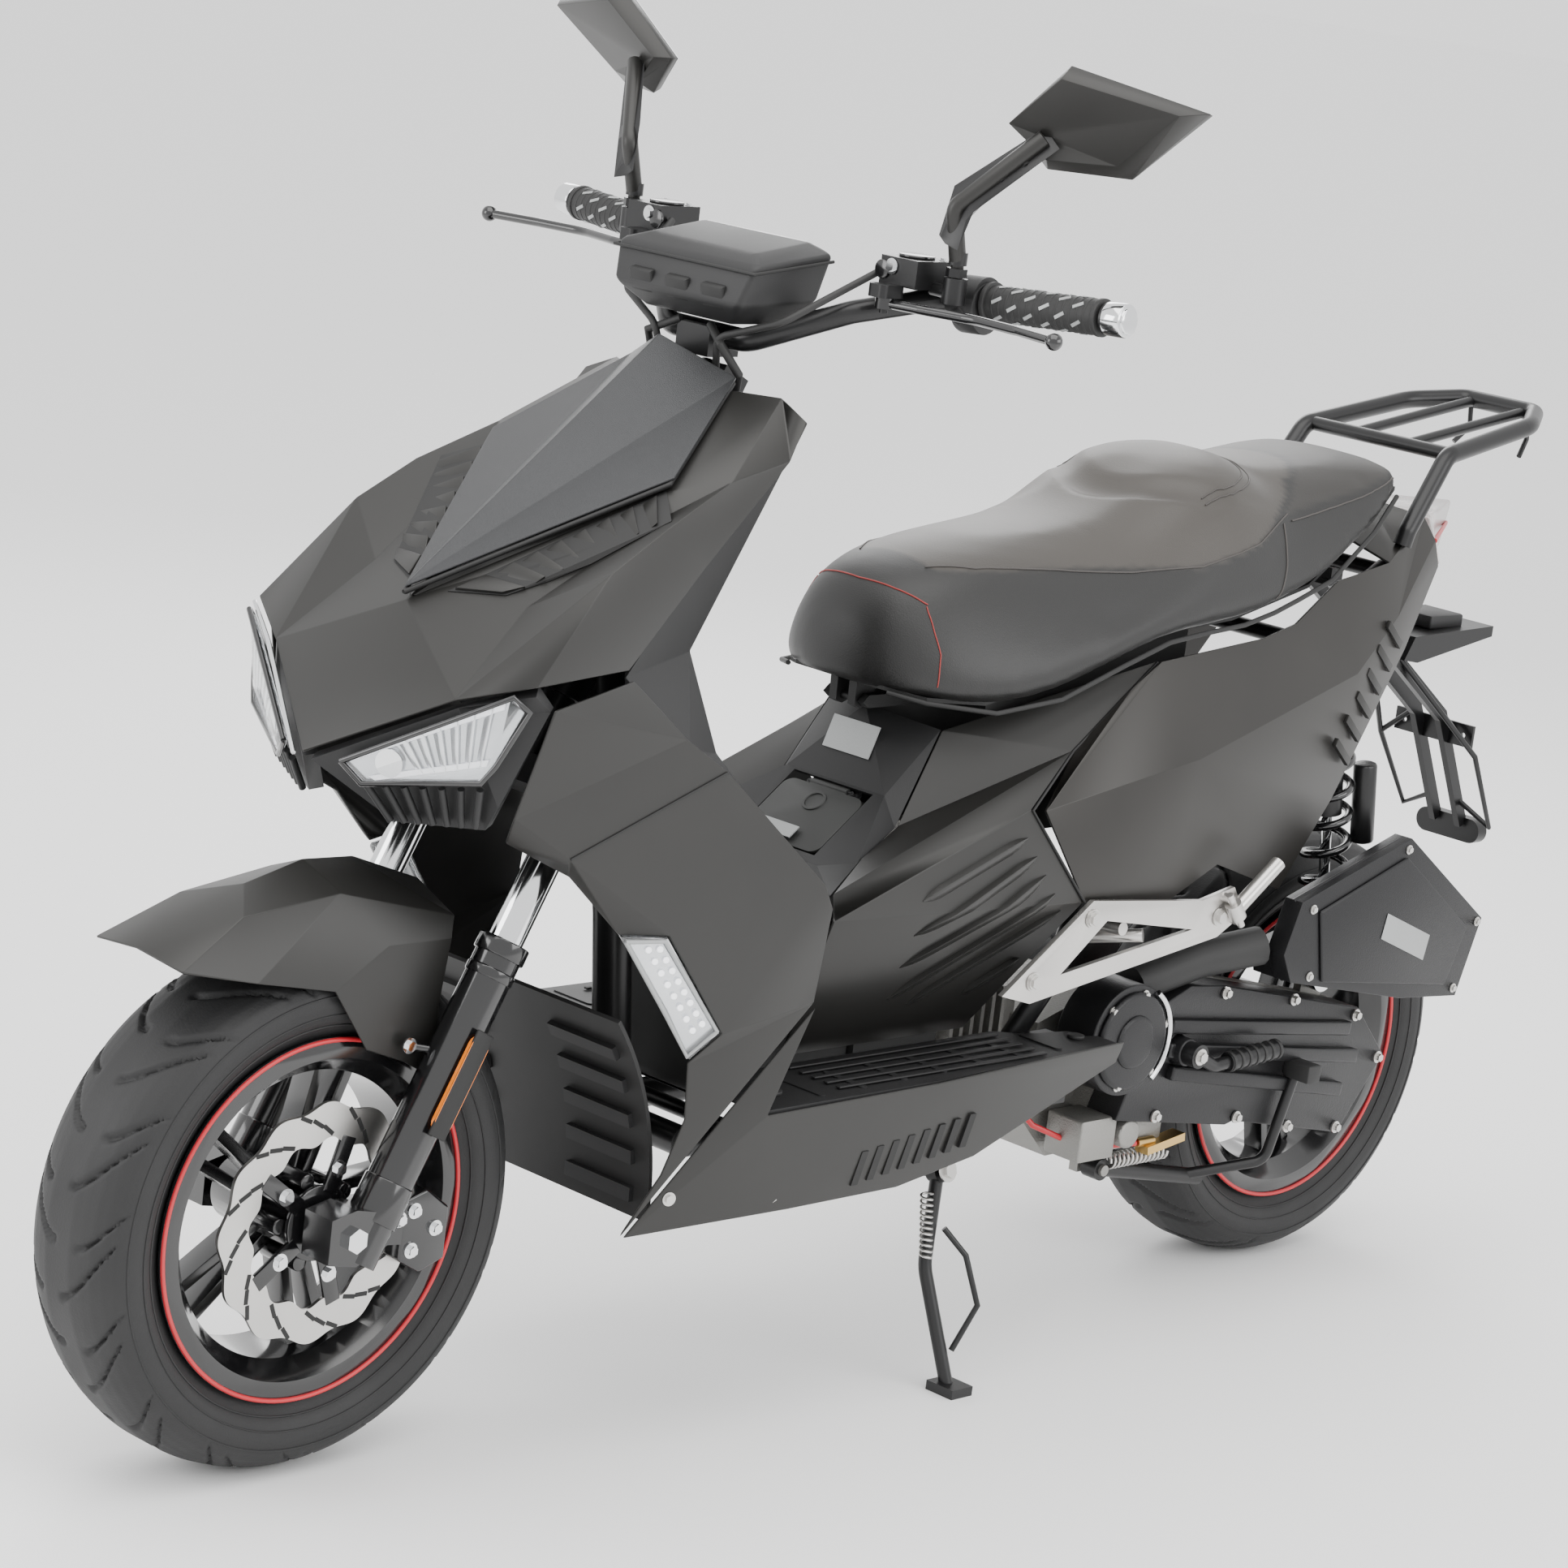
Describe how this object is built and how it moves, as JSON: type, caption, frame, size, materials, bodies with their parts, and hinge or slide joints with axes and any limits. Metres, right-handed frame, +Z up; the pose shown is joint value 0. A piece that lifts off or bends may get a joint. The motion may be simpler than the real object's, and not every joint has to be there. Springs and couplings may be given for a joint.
{
  "type": "moped scooter",
  "caption": "Sporty moped scooter with a faceted nose fairing, step-through floor, stepped seat, rear rack, front disc brake and a side stand, all its moving parts jointed.",
  "frame": {"origin": "on the ground, half way along the scooter and in its middle plane, standing on both tyres and its side stand", "axes": "+X towards the scooter's left, +Y rearward along its length, +Z up"},
  "size_m": [0.86, 1.9679, 1.33],
  "materials": {
    "frame_black": "satin",
    "fairing_black": "matte",
    "trim_black": "matte",
    "clear_lens": "gloss",
    "tail_lens": "gloss",
    "tank_plastic": "matte",
    "fork_gloss": "gloss",
    "chrome": "gloss",
    "disc_steel": "satin",
    "caliper_black": "satin",
    "rim_black": "gloss",
    "tyre_rubber": "matte",
    "grip_rubber": "matte",
    "amber_lens": "gloss",
    "peg_alloy": "satin",
    "engine_alloy": "satin",
    "seat_vinyl": "matte",
    "lock_steel": "satin"
  },
  "bodies": {
    "chassis": {"main_frame": "frame_black", "front_cowl": "fairing_black", "v_panel": "trim_black", "headlight_housings": "trim_black", "headlight_lenses": "clear_lens", "leg_shields": "fairing_black", "front_indicators": "clear_lens", "side_skirts": "fairing_black", "floorboard": "trim_black", "inner_leg_shield": "trim_black", "arch_liner": "trim_black", "side_panels": "fairing_black", "tail_panels": "fairing_black", "tail_light": "tail_lens", "seat_front_panel": "trim_black", "storage_bucket": "trim_black", "fuel_tank": "tank_plastic", "battery": "tank_plastic", "luggage_rack": "frame_black", "plate_bracket": "frame_black", "peg_brackets": "peg_alloy", "shock_body": "caliper_black"},
    "steering": {"steering_stem": "frame_black", "handlebar": "frame_black", "dash_housing": "trim_black", "switch_housings": "trim_black", "master_cylinders": "frame_black", "grip_left": "grip_rubber", "control_hoses": "grip_rubber", "fork_stanchions": "chrome"},
    "fork": {"fork_lowers": "fork_gloss", "front_fender": "fairing_black", "front_caliper": "caliper_black", "fork_reflectors": "amber_lens"},
    "front_wheel": {"front_tyre": "tyre_rubber", "front_rim": "rim_black", "front_disc": "disc_steel"},
    "engine": {"crankcase": "engine_alloy", "cvt_cover": "caliper_black", "air_box": "trim_black", "exhaust": "caliper_black"},
    "rear_wheel": {"rear_tyre": "tyre_rubber", "rear_rim": "rim_black"},
    "shock_lower": {"shock_rod": "caliper_black", "shock_spring": "caliper_black"},
    "side_stand": {"side_stand": "caliper_black"},
    "centre_stand": {"centre_stand": "caliper_black"},
    "kick_starter": {"kick_starter": "caliper_black"},
    "seat": {"seat_base": "trim_black", "seat_cushion": "seat_vinyl"},
    "tank_door": {"tank_door": "trim_black"},
    "lever_left": {"brake_lever_left": "caliper_black"},
    "lever_right": {"brake_lever_right": "caliper_black"},
    "throttle": {"throttle_grip": "grip_rubber"},
    "mirror_l": {"mirror_left": "caliper_black"},
    "mirror_r": {"mirror_right": "caliper_black"},
    "peg_l": {"passenger_peg_left": "peg_alloy"},
    "peg_r": {"passenger_peg_right": "peg_alloy"},
    "ignition": {"ignition_lock": "lock_steel"},
    "starter": {"starter_button": "trim_black"}
  },
  "joints": [
    {"name": "steering_turn", "type": "hinge", "parent": "chassis", "child": "steering", "pos_m": [0, -0.46133, 0.7], "axis": [0, 0.454, 0.891], "range_deg": [-38, 38]},
    {"name": "fork_slide", "type": "slide", "parent": "steering", "child": "fork", "axis": [0, 0.454, 0.891], "range_m": [0, 0.06], "stiffness_N_per_m": 15000, "springref_m": -0.04},
    {"name": "front_wheel_spin", "type": "hinge", "parent": "fork", "child": "front_wheel", "pos_m": [0, -0.741, 0.243], "axis": [1, 0, 0], "continuous": true},
    {"name": "engine_swing", "type": "hinge", "parent": "chassis", "child": "engine", "pos_m": [0, 0.165, 0.262], "axis": [1, 0, 0], "range_deg": [0, 6], "stiffness_Nm_per_rad": 3000, "springref_deg": -8.59},
    {"name": "rear_wheel_spin", "type": "hinge", "parent": "engine", "child": "rear_wheel", "pos_m": [0, 0.671, 0.243], "axis": [1, 0, 0], "continuous": true},
    {"name": "shock_slide", "type": "slide", "parent": "chassis", "child": "shock_lower", "axis": [0, -0.1558, 0.9878], "range_m": [0, 0.055], "deforming": ["shock_spring"]},
    {"name": "side_stand_swing", "type": "hinge", "parent": "chassis", "child": "side_stand", "pos_m": [0.128, 0.01, 0.212], "axis": [0.96, 0, 0.28], "range_deg": [0, 80]},
    {"name": "centre_stand_swing", "type": "hinge", "parent": "engine", "child": "centre_stand", "pos_m": [0, 0.294, 0.168], "axis": [1, 0, 0], "range_deg": [-54, 0], "stiffness_Nm_per_rad": 4, "springref_deg": 34.38},
    {"name": "kick_starter_swing", "type": "hinge", "parent": "engine", "child": "kick_starter", "pos_m": [0.164, 0.351, 0.304], "axis": [1, 0, 0], "range_deg": [-50, 0], "stiffness_Nm_per_rad": 4, "springref_deg": 28.65},
    {"name": "seat_hinge", "type": "hinge", "parent": "chassis", "child": "seat", "pos_m": [0, -0.07, 0.677], "axis": [1, 0, 0], "range_deg": [0, 45]},
    {"name": "tank_door_hinge", "type": "hinge", "parent": "chassis", "child": "tank_door", "pos_m": [0, -0.08025, 0.58535], "axis": [1, 0, 0], "range_deg": [-70, 0]},
    {"name": "brake_lever_left_pull", "type": "hinge", "parent": "steering", "child": "lever_left", "pos_m": [0.168, -0.268, 1.095], "axis": [0, 0, 1], "range_deg": [0, 15], "stiffness_Nm_per_rad": 2, "springref_deg": -17.19},
    {"name": "brake_lever_right_pull", "type": "hinge", "parent": "steering", "child": "lever_right", "pos_m": [-0.168, -0.268, 1.095], "axis": [0, 0, 1], "range_deg": [-15, 0], "stiffness_Nm_per_rad": 2, "springref_deg": 17.19},
    {"name": "throttle_twist", "type": "hinge", "parent": "steering", "child": "throttle", "pos_m": [-0.18395, -0.18918, 1.1025], "axis": [-0.9943, 0.091, 0.0554], "range_deg": [-80, 0], "stiffness_Nm_per_rad": 0.3, "springref_deg": 28.65},
    {"name": "mirror_left_turn", "type": "hinge", "parent": "steering", "child": "mirror_l", "pos_m": [0.217, -0.23, 1.11], "axis": [0, 0, 1], "range_deg": [-40, 40]},
    {"name": "mirror_right_turn", "type": "hinge", "parent": "steering", "child": "mirror_r", "pos_m": [-0.217, -0.23, 1.11], "axis": [0, 0, 1], "range_deg": [-40, 40]},
    {"name": "passenger_peg_left_fold", "type": "hinge", "parent": "chassis", "child": "peg_l", "pos_m": [0.194, 0.345, 0.47], "axis": [0, 0.6, -0.8], "range_deg": [0, 90]},
    {"name": "passenger_peg_right_fold", "type": "hinge", "parent": "chassis", "child": "peg_r", "pos_m": [-0.194, 0.345, 0.47], "axis": [0, 0.6, -0.8], "range_deg": [-90, 0]},
    {"name": "ignition_turn", "type": "hinge", "parent": "chassis", "child": "ignition", "pos_m": [0.058, -0.3465, 0.85], "axis": [-0.1, 0.8849, -0.4549], "range_deg": [0, 90]},
    {"name": "starter_press", "type": "slide", "parent": "steering", "child": "starter", "axis": [0, -1, 0], "range_m": [0, 0.002], "stiffness_N_per_m": 600, "springref_m": -0.002}
  ],
  "couplings": [
    {"joint": "shock_slide", "follows": "engine_swing", "m_per_rad": 0.472}
  ]
}
